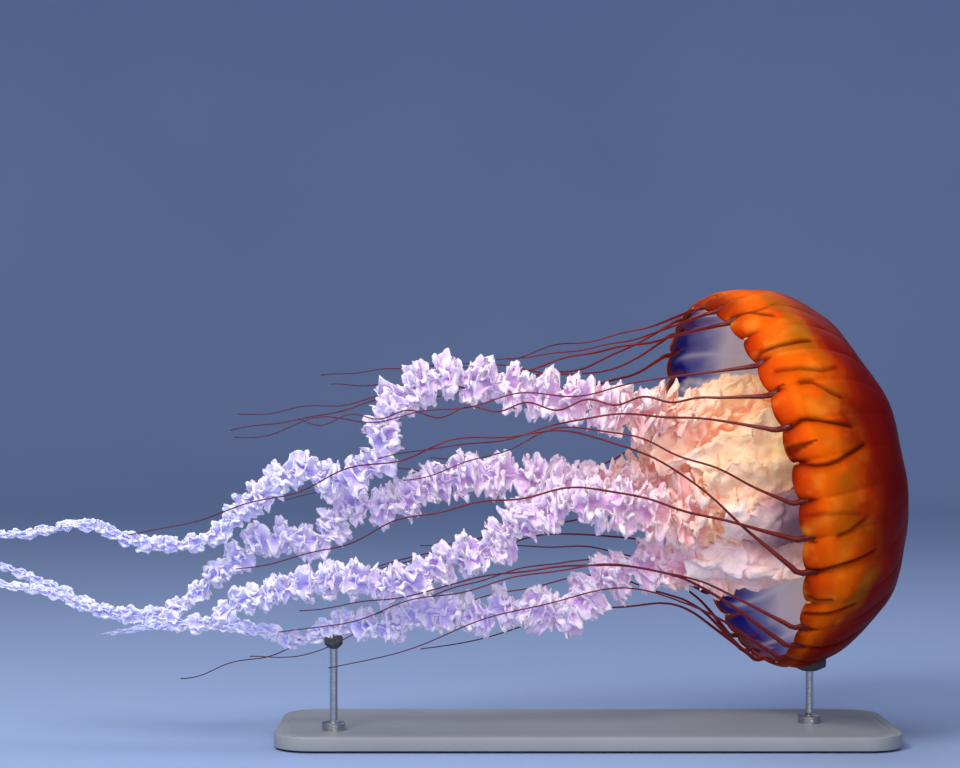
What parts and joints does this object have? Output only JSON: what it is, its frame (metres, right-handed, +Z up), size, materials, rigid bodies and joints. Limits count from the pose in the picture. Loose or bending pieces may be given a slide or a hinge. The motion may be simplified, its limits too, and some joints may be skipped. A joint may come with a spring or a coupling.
{
  "type": "sea nettle jellyfish model",
  "caption": "Life-size still model of a Pacific sea nettle jellyfish, swimming level with its arms and tentacles trailing, on a low display stand.",
  "frame": {"origin": "centre of the underside of the stand's base", "axes": "+X towards the bell's crown, the way the animal swims; +Y to its far side; +Z up"},
  "size_m": [0.7433, 0.2979, 0.3534],
  "materials": {
    "bell_jelly": "wet amber jelly, darker red-brown towards the crown",
    "margin_jelly": "wet orange jelly with dark red furrows",
    "stomach_tissue": "moist creamy yellow membrane",
    "arm_frill": "moist white frilled membrane with pink and lilac shades",
    "tentacle_red": "wet dark red strand",
    "stand_paint": "satin grey powder coat",
    "stand_steel": "brushed rod"
  },
  "bodies": {
    "root": {"bell_dome": "bell_jelly", "bell_margin": "margin_jelly", "stomach": "stomach_tissue", "oral_arm_upper_1": "arm_frill", "oral_arm_upper_2": "arm_frill", "oral_arm_upper_3": "arm_frill", "oral_arm_far_1": "arm_frill", "oral_arm_far_2": "arm_frill", "oral_arm_far_3": "arm_frill", "oral_arm_near_1": "arm_frill", "oral_arm_near_2": "arm_frill", "oral_arm_near_3": "arm_frill", "oral_arm_lower_1": "arm_frill", "oral_arm_lower_2": "arm_frill", "oral_arm_lower_3": "arm_frill", "tentacle_01_1": "tentacle_red", "tentacle_01_2": "tentacle_red", "tentacle_02_1": "tentacle_red", "tentacle_02_2": "tentacle_red", "tentacle_03_1": "tentacle_red", "tentacle_03_2": "tentacle_red", "tentacle_05_1": "tentacle_red", "tentacle_05_2": "tentacle_red", "tentacle_06_1": "tentacle_red", "tentacle_06_2": "tentacle_red", "tentacle_07_1": "tentacle_red", "tentacle_07_2": "tentacle_red", "tentacle_09_1": "tentacle_red", "tentacle_09_2": "tentacle_red", "tentacle_10_1": "tentacle_red", "tentacle_10_2": "tentacle_red", "tentacle_11_1": "tentacle_red", "tentacle_11_2": "tentacle_red", "tentacle_13": "tentacle_red", "tentacle_14": "tentacle_red", "tentacle_15": "tentacle_red", "tentacle_17": "tentacle_red", "tentacle_18": "tentacle_red", "tentacle_19": "tentacle_red", "tentacle_21_1": "tentacle_red", "tentacle_21_2": "tentacle_red", "tentacle_22_1": "tentacle_red", "tentacle_22_2": "tentacle_red", "tentacle_23_1": "tentacle_red", "tentacle_23_2": "tentacle_red", "tentacle_25_1": "tentacle_red", "tentacle_25_2": "tentacle_red", "tentacle_26_1": "tentacle_red", "tentacle_26_2": "tentacle_red", "tentacle_27_1": "tentacle_red", "tentacle_27_2": "tentacle_red", "tentacle_29_1": "tentacle_red", "tentacle_29_2": "tentacle_red", "tentacle_30_1": "tentacle_red", "tentacle_30_2": "tentacle_red", "tentacle_31_1": "tentacle_red", "tentacle_31_2": "tentacle_red", "stand_base": "stand_paint", "stand_rod_bell": "stand_steel", "stand_rod_arm": "stand_steel"}
  },
  "joints": []
}
